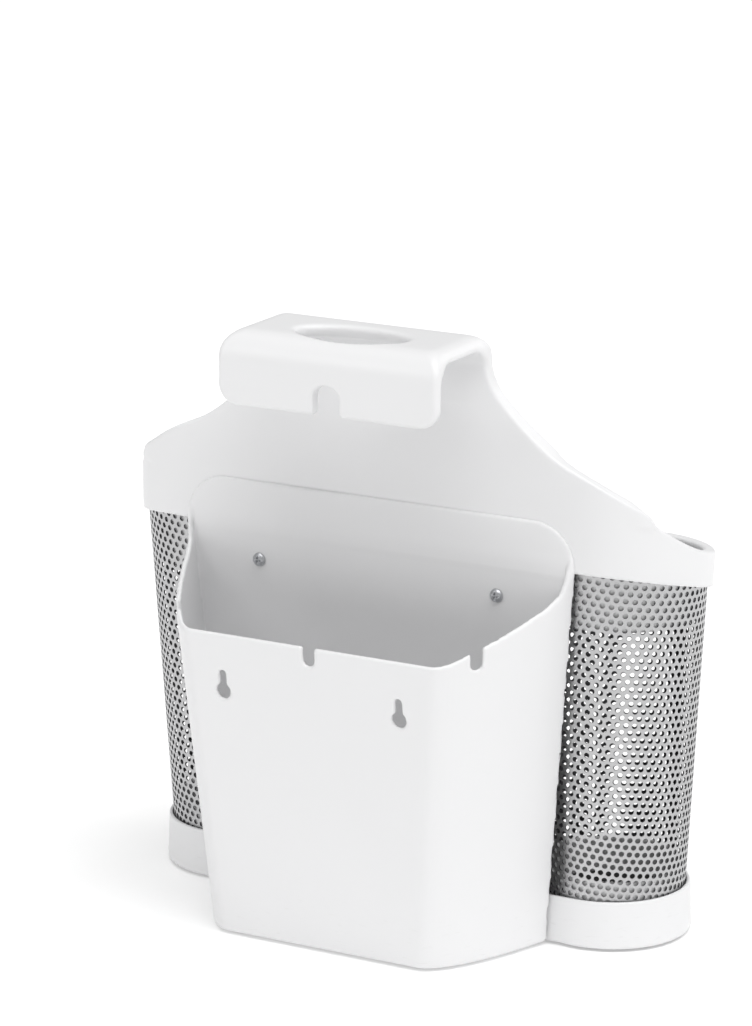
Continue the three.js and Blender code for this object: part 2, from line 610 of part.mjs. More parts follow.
place('top_shell', topShell(), WHITE_PLASTIC());
place('cord_bin', cordBin(), WHITE_PLASTIC());
place('base', base(), WHITE_PLASTIC());
for (const item of BAYS) {
  place(`canister_${item.name}`, canisterSheet(item), STEEL_SHEET());
  place(`collar_${item.name}`, collar(item), WHITE_PLASTIC());
  place(`pad_${item.name}`, pad(item), SILICONE());
}
for (const [name, x, y] of FEET) place(name, rubberFoot(FOOT_THICK), RUBBER(), [x, y, 0]);
for (const [name, x, y] of BIN_FEET) place(name, rubberFoot(FOOT_STAND - FIT_GAP), RUBBER(), [x, y, 0]);
for (const [label, side] of [['left', -1], ['right', 1]]) {
  place(`tie_post_${label}`, tiePost(), WHITE_PLASTIC(), [side * POST.x, POST.y, 0]);
  const headZ = BASE_DECK_Z - BASE_DECK_WALL - FIT_GAP;
  place(`post_screw_${label}`, screwGeometry(), ZINC(), [side * POST.x, POST.y, headZ]);
  for (const [level, z] of [['upper', BIN_SCREW_TOP_Z], ['lower', BIN_SCREW_LOW_Z]]) {
    const lean = (z - FOOT_STAND) / (HEAD_Z - FOOT_STAND);
    const faceY = BIN_FOOT.back + (plateBackY - BIN_FOOT.back) * lean + BIN_WALL + FIT_GAP;
    const screw = place(`bin_screw_${level}_${label}`, screwGeometry(), ZINC(), [side * BIN_SCREW_X, faceY, z]);
    screw.rotation.x = Math.PI / 2;
  }
}

// The origin is the middle of the footprint, on the surface it stands on
caddy.updateMatrixWorld(true);
const middle = new THREE.Box3().setFromObject(caddy).getCenter(new THREE.Vector3());
caddy.position.set(-middle.x, -middle.y, 0);

const group = new THREE.Group();
group.add(caddy);

export default group;
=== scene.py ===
"""Hair-tool caddy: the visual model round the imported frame, laid out as a Blender add-on."""
import math

import bmesh
import bpy
import numpy as np
from bpy.props import FloatProperty, FloatVectorProperty, IntProperty, PointerProperty
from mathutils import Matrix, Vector


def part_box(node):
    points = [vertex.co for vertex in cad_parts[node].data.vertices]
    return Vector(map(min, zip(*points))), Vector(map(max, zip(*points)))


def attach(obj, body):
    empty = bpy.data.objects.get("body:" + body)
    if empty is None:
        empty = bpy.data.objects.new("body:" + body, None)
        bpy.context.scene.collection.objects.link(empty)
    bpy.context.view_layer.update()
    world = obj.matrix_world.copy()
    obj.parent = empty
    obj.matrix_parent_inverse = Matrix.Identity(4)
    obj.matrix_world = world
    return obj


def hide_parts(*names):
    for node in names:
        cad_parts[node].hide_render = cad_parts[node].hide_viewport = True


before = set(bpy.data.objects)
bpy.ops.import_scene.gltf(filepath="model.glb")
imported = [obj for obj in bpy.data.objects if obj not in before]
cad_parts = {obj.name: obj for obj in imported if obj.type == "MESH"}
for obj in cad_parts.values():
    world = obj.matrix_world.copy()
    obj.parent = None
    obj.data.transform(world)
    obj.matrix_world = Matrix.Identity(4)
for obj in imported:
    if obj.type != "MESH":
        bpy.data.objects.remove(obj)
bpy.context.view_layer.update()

bl_info = {
    "name": "Hair-tool caddy",
    "version": (1, 0, 0),
    "blender": (4, 5, 0),
    "location": "3D View > Sidebar > Caddy",
    "description": "Builds the pieces, finishes and stage of a caddy for hair tools",
    "category": "Add Mesh",
}

MM = 0.001
BODY = "frame"
SIDES = ("left", "centre", "right")

# Sizes below are in mm, and y is measured from the foot of the bin's rear wall, which the shell's
# lip stands 5 mm ahead of. The canisters are slanted cones between a foot circle and a head
# circle, each given as x, y and radius.
FOOT_Z, HEAD_Z = 23.0, 175.0
CIRCLES = {
    "left": ((-95.3, -94.7, 33.4), (-99.0, -92.4, 39.0)),
    "centre": ((0.0, -100.8, 39.5), (0.0, -99.4, 46.0)),
    "right": ((95.3, -94.7, 33.4), (99.0, -92.4, 39.0)),
}
LIP_Y = -5.0
WALL_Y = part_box("top_shell")[1].y / MM - LIP_Y

# Clearances and walls
FIT_GAP, SHEET_GAP, SHEET_WALL, DECK_WALL = 0.3, 0.4, 0.8, 3.0
BAND_WALL, HANDLE_WALL, LIP_WALL, BIN_WALL, BASE_WALL, SPIGOT_WALL = 2.0, 6.5, 6.0, 2.2, 1.6, 1.8

# Perforated sheet: the holes climb by a number of rows in a full turn
SHEET_LOW_Z, SHEET_OVERLAP = 12.8, 6.8
SHEET_TURNS, HOLE_SIDES = 8, 10

# Top shell: band, rim and webs, then panel and hook, then the hand slot and the lip's notch
SHELL_Y, VALLEY_Y, BAND_OUT = -51.0, -112.0, 2.4
BAND_LOW_Z, BAND_REAR_Y, BAND_SLOPE = 174.5, -51.0, 0.25
RIM_FRONT_Z, RIM_RISE, RIM_DECAY, RIM_REAR_Y = 173.0, 33.5, 24.0, -57.0
TOP_Z, HANDLE_HALF, LIP_LOW_Z = 275.0, 54.0, 242.0
PANEL_Y, PANEL_LOW_Z, PANEL_LEAN, PANEL_LEAN_RISE, EDGE = -57.0, 197.0, 6.0, 66.0, 1.5
HOOK_REAR_R, HOOK_R, HANDLE_CORNER, LIP_CORNER = 14.0, 9.0, 10.0, 9.0
SLOT_HALF_X, SLOT_HALF_Y, SLOT_Y = 27.0, 13.0, -28.0
NOTCH_R, NOTCH_Z = 6.5, 249.2

# Shoulder line from below, as heights and half widths
SHOULDER = (
    (198, 206.5, 216, 222.3, 230.5, 241, 250.5, 260, 270),
    (132, 120, 104, 90, 78, 66, 57.5, 54, 54),
)

# Collars: the sleeves are as thick as their round lower lip
COLLAR_LOW_Z, COLLAR_TOP_Z, COLLAR_HALF = 148.0, 196.7, 1.0
BORE_IN = SHEET_WALL + SHEET_GAP + 2.0 * COLLAR_HALF

# Base, with the screw holes, and the feet, bosses and screw block on one side
BASE_REAR_Y, DECK_Z, STAND_Z, SPIGOT_TOP_Z = -59.3, 12.4, 1.5, 32.0
BASE_OUT, BASE_FLARE = 2.0, 0.8
POST_X, POST_Y, BIN_SCREW_X, BIN_SCREW_Z, SCREW_HOLE_R = 48.0, -70.0, 60.0, 13.5, 1.8
FOOT_PLACES, BOSS_R, BOSS_Z = ((107.3, -100.7), (17.0, -120.8)), 8.0, (2.0, 11.0)
FOOT_HOLE_R, FOOT_HOLE_TOP_Z, DECK_THICK = 6.3, 3.3, 2.4
BLOCK_HALF, BLOCK_Y, BLOCK_Z = 4.5, (-69.9, -59.8), (11.5, 18.5)

# Cord bin: back plate, notches and keyholes
PLATE_Y, PLATE_TOP_Z, PLATE_CORNER, MOUTH_LOW_Z = -49.5, 196.0, 20.0, 142.5
CORD_NOTCH_R, CENTRE_NOTCH_Z, CORNER_NOTCH_Z = 3.0, 137.5, 143.0
CORNER_NOTCH_X, CORNER_NOTCH_Y, CORNER_NOTCH_TURN, CORNER_NOTCH_HALF = 76.0, -3.0, 0.72, 12.0
KEYHOLE_X, KEYHOLE_Z, KEYHOLE_R, STEM_R, STEM_RISE = 43.9, 116.6, 3.6, 1.8, 8.0

# Mouth of the bin as depths and heights; its half outline at foot and head, as x and y of the
# four points of a cubic curve
MOUTH = ((-48.6, -46, -41, -30, -10, -2, 5, 12), (179, 169, 163.5, 158.5, 151, 148, 144.6, 142.5))
BIN_FOOT = ((82, -58), (74, -30), (60, 0), (48, 0))
BIN_HEAD = ((97.5, -51.7), (88.5, -20), (73.5, 13.6), (62, 13.6))

# Turned pieces, in metres
SOFT_EDGE, FOOT_DISH, FOOT_BREAK = 0.8 * MM, 0.3 * MM, 0.1 * MM
PAD_RINGS, PAD_RING_DEPTH = 9, 0.5 * MM

# Lamps: name, kind, place in metres, size in metres (a sun's in degrees), strength
LAMPS = (
    ("sky", "SUN", (-0.3, 0.2, 1.2), 60.0, 2.25),
    ("key", "AREA", (-2.0, -0.35, 0.9), 0.8, 3.8),
    ("fill", "AREA", (0.9, 1.5, 1.2), 0.9, 3.4),
    ("front", "AREA", (-0.6, -1.8, 1.0), 0.9, 2.6),
)

# Stage, in metres: what the lamps point at, half the floor, and the camera
AIM, FLOOR_HALF, WORLD_STRENGTH = (0, 0, 0.14), 14.0, 0.33
CAMERA_PLACE, CAMERA_WAY = (-0.9356, 1.6861, 0.6999), (0.4728, -0.8426, -0.2580)
CAMERA_LENS, CAMERA_SENSOR = 157.895, 36  # mm


# ---- Mesh helpers ---------------------------------------------------------------------------
def link(name, mesh, material, body=BODY):
    """Puts a mesh in the scene as one piece on a body, with one material."""
    piece = bpy.data.objects.new(name, mesh)
    bpy.context.scene.collection.objects.link(piece)
    mesh.materials.clear()
    mesh.materials.append(material)
    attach(piece, body)
    return piece


def mesh_from(name, points, faces, sharp=35.0):
    """A mesh from an array of points and lists of faces, shaded smooth up to an angle."""
    mesh = bpy.data.meshes.new(name)
    mesh.from_pydata(points, [], faces)
    mesh.validate()
    mesh.shade_smooth()
    mesh.set_sharp_from_angle(angle=math.radians(sharp))
    return mesh


def grid_faces(rows, columns, closed=True):
    """Quads of a grid of rows by columns of points, closed round the columns if asked."""
    r = np.arange(rows - 1)[:, None]
    c = np.arange(columns if closed else columns - 1)[None, :]
    d = (c + 1) % columns
    quads = np.stack([r * columns + c, r * columns + d, (r + 1) * columns + d, (r + 1) * columns + c], -1)
    return quads.reshape(-1, 4)


def lathe(profile, centre, steps):
    """A closed turned shape: every point (r, z) of the profile goes round as
    (x + r cos a, y + r sin a, z), from the pole below to the pole above."""
    profile = np.asarray(profile, float)
    a = np.linspace(0, 2 * np.pi, steps, endpoint=False)
    r, z = profile[1:-1, 0][:, None], profile[1:-1, 1][:, None]
    ring = np.stack([centre[0] + r * np.cos(a), centre[1] + r * np.sin(a), centre[2] + z + 0 * a], -1)
    points = np.vstack([ring.reshape(-1, 3), [[centre[0], centre[1], centre[2] + profile[0, 1]]],
                        [[centre[0], centre[1], centre[2] + profile[-1, 1]]]])
    rows = len(profile) - 2
    quads = grid_faces(rows, steps).tolist()
    i = np.arange(steps)
    j = (i + 1) % steps
    low = np.stack([np.full(steps, rows * steps), j, i], -1).tolist()
    top = (rows - 1) * steps
    high = np.stack([np.full(steps, rows * steps + 1), top + i, top + j], -1).tolist()
    return points, quads + low + high


def quarter(radius, edge, level, rise):
    """Six points (r, z) of a turned quarter round that ends at the given radius: it climbs from
    the level outwards when rise is 1, and to the level inwards when rise is -1."""
    turn = np.linspace(0, np.pi / 2, 6)
    if rise > 0:
        return list(zip(radius - edge + edge * np.sin(turn), level + edge - edge * np.cos(turn)))
    return list(zip(radius - edge + edge * np.cos(turn), level - edge + edge * np.sin(turn)))


def disc_of(node):
    """Centre of the lower face, radius and thickness of a round CAD node that lies flat."""
    low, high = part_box(node)
    centre = ((low.x + high.x) / 2, (low.y + high.y) / 2, low.z)
    return centre, (high.x - low.x) / 2, high.z - low.z


# ---- Perforated sheet -----------------------------------------------------------------------
def cone_at(side, z):
    """Centre and radius of a canister at heights z, straight-line between its two circles."""
    foot, head = (np.array(c) for c in CIRCLES[side])
    t = ((z - FOOT_Z) / (HEAD_Z - FOOT_Z))[..., None]
    mixed = foot + (head - foot) * t
    return mixed[..., 0], mixed[..., 1], mixed[..., 2]


def cell_template(sides):
    """One cell of staggered perforation in unit coordinates: six border points, a ring of hole
    points, and the triangles of the strip between them, anticlockwise."""
    border = [(-1, -1), (0, -1), (1, -1), (1, 1), (0, 1), (-1, 1)]
    turn = [math.atan2(y, x) % (2 * math.pi) for x, y in border]
    hole = [(2 * math.pi * (i + 0.5) / sides) for i in range(sides)]
    order = sorted(range(6), key=lambda k: turn[k])
    triangles = []
    i, j = 0, 0
    while i < 6 or j < sides:
        a, b = order[i % 6], 6 + j % sides
        next_turn = turn[order[(i + 1) % 6]] + (2 * math.pi if i + 1 >= 6 else 0)
        next_hole = hole[(j + 1) % sides] + (2 * math.pi if j + 1 >= sides else 0)
        if j >= sides or (i < 6 and next_turn <= next_hole):
            triangles.append((a, order[(i + 1) % 6], b))
            i += 1
        else:
            triangles.append((a, 6 + (j + 1) % sides, b))
            j += 1
    return np.array(triangles), np.array(hole)


def perforated_sheet(side, columns, row_pitch, hole_r, wall, turns, hole_sides):
    """A rolled sheet with staggered round holes. The rows climb as a helix of whole steps, so that
    row k at angle a lies at z = low + pitch k - step a / 2 pi, and the pattern closes on itself.
    Each hole is a ring z = zc + r sin t, angle = ac + r cos t / radius. The strips between the
    holes are doubled inwards by the wall and joined along every free edge."""
    rows = int((HEAD_Z + 25 - SHEET_LOW_Z) / row_pitch) + turns + 2
    step = turns * row_pitch
    k, j = np.meshgrid(np.arange(rows), np.arange(columns), indexing="ij")
    shift = k % 2

    def corner(b, h):
        wrapped = h >= 2 * columns
        return np.where(wrapped, b - turns, b) * 2 * columns + np.where(wrapped, h - 2 * columns, h)

    left = 2 * j + shift
    cell = np.stack([corner(k, left), corner(k, left + 1), corner(k, left + 2),
                     corner(k + 1, left + 2), corner(k + 1, left + 1), corner(k + 1, left)], -1)
    cell = cell.reshape(-1, 6)
    b, h = np.meshgrid(np.arange(rows + 1), np.arange(2 * columns), indexing="ij")
    border_a = (np.pi * h / columns).ravel()
    border_z = (SHEET_LOW_Z + row_pitch * b).ravel() - step * border_a / (2 * np.pi)
    cell_a = (np.pi * (left + 1) / columns).ravel()
    cell_z = (SHEET_LOW_Z + row_pitch * (k + 0.5)).ravel() - step * cell_a / (2 * np.pi)
    _, cy, cr = cone_at(side, cell_z)
    top = BAND_LOW_Z + BAND_SLOPE * (cy + cr * np.sin(cell_a) - BAND_REAR_Y) + SHEET_OVERLAP
    keep = (cell.min(1) >= 0) & (cell_z - row_pitch * 0.75 > SHEET_LOW_Z) & (cell_z + row_pitch * 0.75 < top)
    cell, cell_a, cell_z = cell[keep], cell_a[keep], cell_z[keep]
    triangles, ring = cell_template(hole_sides)
    used, cell = np.unique(cell, return_inverse=True)
    cell = cell.reshape(-1, 6)
    border_a, border_z = border_a[used], border_z[used]
    cr = cone_at(side, cell_z)[2]
    hole_a = cell_a[:, None] + hole_r * np.cos(ring) / cr[:, None]
    hole_z = cell_z[:, None] + hole_r * np.sin(ring)
    angle = np.concatenate([border_a, hole_a.ravel()])
    height = np.concatenate([border_z, hole_z.ravel()])
    hole_index = len(used) + np.arange(len(cell) * hole_sides).reshape(-1, hole_sides)
    table = np.hstack([cell, hole_index])
    front = table[:, triangles].reshape(-1, 3)

    def skin(offset):
        x, y, r = cone_at(side, height)
        r = r + offset
        return np.stack([x + r * np.cos(angle), y + r * np.sin(angle) + WALL_Y, height], -1)

    count = len(angle)
    edges = np.vstack([front[:, [0, 1]], front[:, [1, 2]], front[:, [2, 0]]])
    code = edges[:, 0].astype(np.int64) * count + edges[:, 1]
    mirror = edges[:, 1].astype(np.int64) * count + edges[:, 0]
    free = edges[~np.isin(code, mirror)]
    walls = np.stack([free[:, 1], free[:, 0], free[:, 0] + count, free[:, 1] + count], -1)
    points = np.vstack([skin(0.0), skin(-wall)]) * MM
    faces = front.tolist() + (front[:, ::-1] + count).tolist() + walls.tolist()
    return points, faces, len(front)


# ---- Walls worked out as distances ------------------------------------------------------------
def rounded(a, b, r):
    """What lies in both of two shapes, from their distances a and b, with an edge of radius r:
    min(max(a, b), -r) + length(max(a + r, 0), max(b + r, 0))."""
    return np.minimum(np.maximum(a, b), -r) + np.hypot(np.maximum(a + r, 0), np.maximum(b + r, 0))


def blended(a, b, k):
    """What lies in either shape, with a fillet about k wide: min(a, b) - (k - |a - b|)^2 / 4 k."""
    return np.minimum(a, b) - np.maximum(k - np.abs(a - b), 0) ** 2 / (4 * k)


def growing(y, start, length, small, more):
    """A fillet's size: small behind y = start, and more on top of that a length in front of it."""
    return small + more * np.clip((start - y) / length, 0, 1)


def slab(v, low, high):
    """Distance from the stretch between low and high along one axis."""
    return np.abs(v - 0.5 * (low + high)) - 0.5 * (high - low)


def eased(x, xs, ys):
    """A smooth curve through points: a cubic between each two, with the chord slopes of its
    neighbours at its ends, and straight on beyond the last points. Returns height and slope."""
    xs, ys = np.asarray(xs, float), np.asarray(ys, float)
    slope = np.gradient(ys, xs)
    i = np.clip(np.searchsorted(xs, x) - 1, 0, len(xs) - 2)
    h = xs[i + 1] - xs[i]
    t = np.clip((x - xs[i]) / h, 0, 1)
    a, b = ys[i], ys[i + 1]
    m, n = slope[i] * h, slope[i + 1] * h
    value = a + m * t + (3 * (b - a) - 2 * m - n) * t**2 + (m + n - 2 * (b - a)) * t**3
    rate = (m + 2 * (3 * (b - a) - 2 * m - n) * t + 3 * (m + n - 2 * (b - a)) * t**2) / h
    past = np.minimum(x - xs[0], 0) + np.maximum(x - xs[-1], 0)
    return value + past * rate, rate


def axis(*stretches):
    """Grid lines along one axis: each stretch is (from, to, spacing), one after the other."""
    parts = [np.linspace(a, b, max(int(round((b - a) / s)), 1), endpoint=False) for a, b, s in stretches]
    return np.concatenate([*parts, [stretches[-1][1]]])


def skin_of(field, xs, ys, zs, relax=2):
    """The surface where field(x, y, z) is zero, on a grid with its own spacing along each axis.
    Each grid cell that the surface crosses gets one point, at the mean of its edge crossings, and
    each crossed grid edge one quad between its four cells. Every point is then drawn along the
    field's slope onto the surface, p - f grad f / |grad f|^2, and evened out between passes."""
    shape = (len(xs), len(ys), len(zs))
    f = field(*np.meshgrid(xs, ys, zs, indexing="ij", sparse=True))
    f = np.broadcast_to(f, shape)
    inside = f < 0
    cells = tuple(n - 1 for n in shape)
    count = np.zeros(cells, np.int8)
    for dx in (0, 1):
        for dy in (0, 1):
            for dz in (0, 1):
                count += inside[dx:cells[0] + dx, dy:cells[1] + dy, dz:cells[2] + dz]
    active = (count > 0) & (count < 8)
    ids = np.full(cells, -1, np.int64)
    ids[active] = np.arange(active.sum())
    i, j, k = np.nonzero(active)
    total, weight = np.zeros((len(i), 3)), np.zeros(len(i))
    lines = (xs, ys, zs)
    for way in range(3):
        others = [w for w in range(3) if w != way]
        for p in (0, 1):
            for q in (0, 1):
                start = [i.copy(), j.copy(), k.copy()]
                start[others[0]] += p
                start[others[1]] += q
                end = list(start)
                end[way] = start[way] + 1
                f0, f1 = f[tuple(start)], f[tuple(end)]
                crossed = (f0 < 0) != (f1 < 0)
                t = np.where(crossed, f0 / np.where(crossed, f0 - f1, 1), 0)
                point = np.stack([lines[w][start[w]] for w in range(3)], -1)
                point[:, way] += t * (lines[way][end[way]] - lines[way][start[way]])
                total += point * crossed[:, None]
                weight += crossed
    points = total / weight[:, None]
    quads = []
    for way in range(3):
        a, b = (way + 1) % 3, (way + 2) % 3
        first = [slice(None)] * 3
        second = [slice(None)] * 3
        first[way], second[way] = slice(0, -1), slice(1, None)
        s0, s1 = inside[tuple(first)], inside[tuple(second)]
        crossed = s0 != s1
        crossed[tuple(slice(None) if w == way else slice(0, 1) for w in range(3))] = False
        where = np.array(np.nonzero(crossed))
        safe = (where[a] > 0) & (where[b] > 0) & (where[a] < cells[a]) & (where[b] < cells[b])
        where = where[:, safe]

        def cell(da, db):
            at = where.copy()
            at[a] -= da
            at[b] -= db
            return ids[tuple(at)]

        quad = np.stack([cell(1, 1), cell(0, 1), cell(0, 0), cell(1, 0)], -1)
        outward = s0[tuple(where)]
        quads.append(np.where(outward[:, None], quad, quad[:, ::-1]))
    quads = np.vstack(quads)

    def settle(p):
        eps = 0.02
        for _ in range(3):
            value = field(*p.T)
            slope = np.stack([(field(*(p + d).T) - field(*(p - d).T)) / (2 * eps)
                              for d in np.eye(3) * eps], -1)
            move = value[:, None] * slope / np.maximum((slope**2).sum(1), 0.05)[:, None]
            size = np.linalg.norm(move, axis=1)[:, None]
            p = p - move * np.minimum(1, 0.6 / np.maximum(size, 1e-9))
        return p

    points = settle(points)
    pairs = np.vstack([quads[:, [0, 1]], quads[:, [1, 2]], quads[:, [2, 3]], quads[:, [3, 0]]])
    degree = np.bincount(pairs[:, 0], minlength=len(points)).astype(float)
    for _ in range(relax):
        mean = np.stack([np.bincount(pairs[:, 0], points[pairs[:, 1], w], len(points)) for w in range(3)], -1)
        mean /= np.maximum(degree, 1)[:, None]
        points = settle(points + 0.5 * (mean - points))
    return points, quads


def bay_distances(x, y, z):
    """Distances outside the side canister's and the centre canister's own surfaces, which run
    straight up above the head circle."""
    level = np.minimum(z, HEAD_Z)
    side_x, side_y, side_r = cone_at("right", level)
    _, mid_y, mid_r = cone_at("centre", level)
    return np.hypot(np.abs(x) - side_x, y - side_y) - side_r, np.hypot(x, y - mid_y) - mid_r


def shell_field(x, y, z):
    """Distance from the top shell: the band and deck round the three bays, the panel with its
    shoulders, and the hook over the top, less the bores, the hand slot and the lip's notch."""
    ax = np.abs(x)
    side, mid = bay_distances(x, y, z)
    k = growing(y, -82.0, 20.0, 0.3, 6.0)
    head_x = CIRCLES["right"][1][0]
    web = np.maximum(np.maximum(ax - head_x, VALLEY_Y - y), y - SHELL_Y)
    outer = blended(blended(side - BAND_OUT, mid - BAND_OUT, k), web, k)
    inner_web = np.maximum(np.maximum(ax - head_x, VALLEY_Y + BAND_WALL - y), y - SHELL_Y + BAND_WALL)
    inner = np.minimum(np.minimum(side, mid) - SHEET_GAP, inner_web)
    climb = RIM_RISE * np.exp(np.minimum(y - RIM_REAR_Y, 0) / RIM_DECAY)
    rim = (z - RIM_FRONT_Z - climb) / np.hypot(1.0, climb / RIM_DECAY * (y < RIM_REAR_Y))
    low = (BAND_LOW_Z + BAND_SLOPE * (y - BAND_REAR_Y) - z) / np.hypot(1, BAND_SLOPE)
    skin = rounded(rounded(outer, rim, 1.3), low, 0.8)
    skin = np.maximum(skin, -np.maximum(inner, rim + DECK_WALL))
    width, rate = eased(z, *SHOULDER)
    shoulder = (ax - width) / np.hypot(1.0, rate)
    front = PANEL_Y - PANEL_LEAN * np.clip((TOP_Z - HOOK_R - z) / PANEL_LEAN_RISE, 0, 1)
    thick = rounded(rounded(z - TOP_Z, y - LIP_Y, HOOK_REAR_R), front - y, HOOK_R)
    panel = rounded(np.maximum(thick, y - SHELL_Y), rounded(shoulder, z - TOP_Z, HANDLE_CORNER), EDGE)
    panel = np.maximum(np.maximum(panel, PANEL_LOW_Z - z), outer)
    cavity = rounded(rounded(z - TOP_Z + HANDLE_WALL, SHELL_Y - y, HOOK_R), y - LIP_Y + LIP_WALL, HOOK_R)
    corner = rounded(rounded(ax - HANDLE_HALF, z - TOP_Z, HANDLE_CORNER), LIP_LOW_Z - z, LIP_CORNER)
    hook = rounded(rounded(thick, -cavity, 2.4), corner, 2.2)
    hook = np.maximum(hook, SHELL_Y - BAND_WALL - y)
    fillet = growing(y, -56.0, 4.0, 0.05, 2.5)
    body = blended(blended(skin, panel, fillet), hook, 0.6)
    bore = np.minimum(side, mid) + BORE_IN
    body = rounded(body, -bore, np.clip(2.7 + rim, 0.05, 1.2))
    reach = np.hypot(x / SLOT_HALF_X, (y - SLOT_Y) / SLOT_HALF_Y)
    steep = np.hypot(x / SLOT_HALF_X**2, (y - SLOT_Y) / SLOT_HALF_Y**2)
    slot = reach * (reach - 1) / np.maximum(steep, 1e-3)
    body = rounded(body, -slot, 3.0)
    notch = np.hypot(x, np.maximum(z - NOTCH_Z, 0)) - NOTCH_R
    return rounded(body, -np.maximum(notch, -16.0 - y), 1.2)


def base_field(x, y, z):
    """Distance from the base: a skirt that flares to the floor round a deck, a spigot inside each
    canister, bosses for the feet, blocks for the bin's screws, and the holes of all screws."""
    ax = np.abs(x)
    flare = BASE_OUT + BASE_FLARE * np.clip((FOOT_Z - z) / (FOOT_Z - STAND_Z), 0, 1)
    (foot_x, foot_y, foot_r), (_, mid_y, mid_r) = CIRCLES["right"][0], CIRCLES["centre"][0]
    side = np.hypot(ax - foot_x, y - foot_y) - foot_r - flare
    mid = np.hypot(x, y - mid_y) - mid_r - flare
    web = np.maximum(np.maximum(ax - foot_x, VALLEY_Y - y), y - BASE_REAR_Y)
    k = growing(y, -86.0, 16.0, 0.3, 4.0)
    outer = blended(blended(side, mid, k), web, k)
    level = slab(z, STAND_Z, FOOT_Z)
    skirt = rounded(rounded(outer, level, 0.7), -(outer + BASE_WALL), 0.5)
    deck = np.maximum(slab(z, DECK_Z - DECK_THICK, DECK_Z), outer + 0.5 * BASE_WALL)
    side_x, side_y, side_r = cone_at("right", z)
    _, core_y, core_r = cone_at("centre", z)
    can = np.minimum(np.hypot(ax - side_x, y - side_y) - side_r, np.hypot(x, y - core_y) - core_r)
    spigot_out = SHEET_WALL + SHEET_GAP
    spigot = rounded(can + spigot_out, -(can + spigot_out + SPIGOT_WALL), 0.6)
    spigot = rounded(spigot, z - SPIGOT_TOP_Z, 0.6)
    spigot = np.maximum(spigot, DECK_Z - 1.0 - z)
    body = blended(blended(skirt, deck, 0.8), spigot, 0.8)
    boss = np.minimum(*(np.hypot(ax - foot[0], y - foot[1]) for foot in FOOT_PLACES))
    body = np.minimum(body, np.maximum(boss - BOSS_R, slab(z, *BOSS_Z)))
    block = np.maximum(np.abs(ax - BIN_SCREW_X) - BLOCK_HALF, slab(y, *BLOCK_Y))
    block = np.maximum(block, slab(z, *BLOCK_Z))
    body = blended(body, block, 0.6)
    body = rounded(body, -np.maximum(boss - FOOT_HOLE_R, z - FOOT_HOLE_TOP_Z), 0.3)
    body = rounded(body, -(np.hypot(ax - POST_X, y - POST_Y) - SCREW_HOLE_R), 0.3)
    hole = np.hypot(ax - BIN_SCREW_X, z - BIN_SCREW_Z) - SCREW_HOLE_R
    return rounded(body, -np.maximum(hole, -75.0 - y), 0.3)


def collar_sleeve(side, steps):
    """The sleeve that lines the head of a canister. At angle a it is a closed section, the points
    (r + offset) cos a, (r + offset) sin a round the canister's centre at their own height, with a
    round lip below and the deck's slope above: top = min(rim(y) - deck, panel foot)."""
    a = np.linspace(0, 2 * np.pi, steps, endpoint=False)
    turn = np.linspace(0, np.pi, 9)
    rise = np.linspace(0, 1, 9)
    out, into = COLLAR_HALF - BORE_IN + COLLAR_HALF, -BORE_IN
    middle, low = COLLAR_HALF - BORE_IN, COLLAR_LOW_Z + COLLAR_HALF
    lip = np.column_stack([middle + COLLAR_HALF * np.cos(turn[::-1]), low - COLLAR_HALF * np.sin(turn)])
    _, head_y, head_r = cone_at(side, np.full(steps, HEAD_Z))
    y = head_y + (head_r + middle) * np.sin(a)
    climb = RIM_RISE * np.exp(np.minimum(y - RIM_REAR_Y, 0) / RIM_DECAY)
    top = np.minimum(RIM_FRONT_Z + climb - DECK_WALL - FIT_GAP, COLLAR_TOP_Z)
    offset = [lip[:, 0], np.full(9, out), [out - 0.3, into + 0.3], np.full(9, into)]
    offset = np.concatenate(offset)[:, None]
    wall = low + (top - 0.3 - low) * rise[:, None]
    z = np.vstack([np.tile(lip[:, 1:], steps), wall, np.tile(top, (2, 1)), wall[::-1]])
    x0, y0, r = cone_at(side, np.minimum(z, HEAD_Z))
    points = np.stack([x0 + (r + offset) * np.cos(a), y0 + (r + offset) * np.sin(a) + WALL_Y, z], -1)
    quads = grid_faces(len(offset) + 1, steps) % (len(offset) * steps)
    return points.reshape(-1, 3) * MM, quads.tolist()


def bin_outline_distance(x, y, z):
    """Distance outside the bin's outline at height z: a half outline of one cubic curve from the
    back corner to the rear wall, whose four points run straight from the foot to the head."""
    t = (z - STAND_Z) / (HEAD_Z - STAND_Z)
    low, high = np.array(BIN_FOOT), np.array(BIN_HEAD)
    u = np.linspace(0, 1, 23)
    curve = np.stack([(1 - u) ** 3, 3 * u * (1 - u) ** 2, 3 * u**2 * (1 - u), u**3])
    foot, head = low.T @ curve, high.T @ curve
    foot = np.column_stack([[0, foot[1, 0]], foot, [0, foot[1, -1]]])
    head = np.column_stack([[0, head[1, 0]], head, [0, head[1, -1]]])
    ax = np.abs(x)
    near, side = None, None
    for a, b in zip(range(foot.shape[1] - 1), range(1, foot.shape[1])):
        px, py = foot[0, a] + (head[0, a] - foot[0, a]) * t, foot[1, a] + (head[1, a] - foot[1, a]) * t
        qx, qy = foot[0, b] + (head[0, b] - foot[0, b]) * t, foot[1, b] + (head[1, b] - foot[1, b]) * t
        ex, ey = qx - px, qy - py
        length = np.hypot(ex, ey)
        dx, dy = ax - px, y - py
        along = np.clip((dx * ex + dy * ey) / length**2, 0, 1)
        gap = (dx - along * ex) ** 2 + (dy - along * ey) ** 2
        plane = (dx * ey - dy * ex) / length
        near = gap if near is None else np.minimum(near, gap)
        side = plane if side is None else np.maximum(side, plane)
    return np.where(side > 0, 1, -1) * np.sqrt(near)


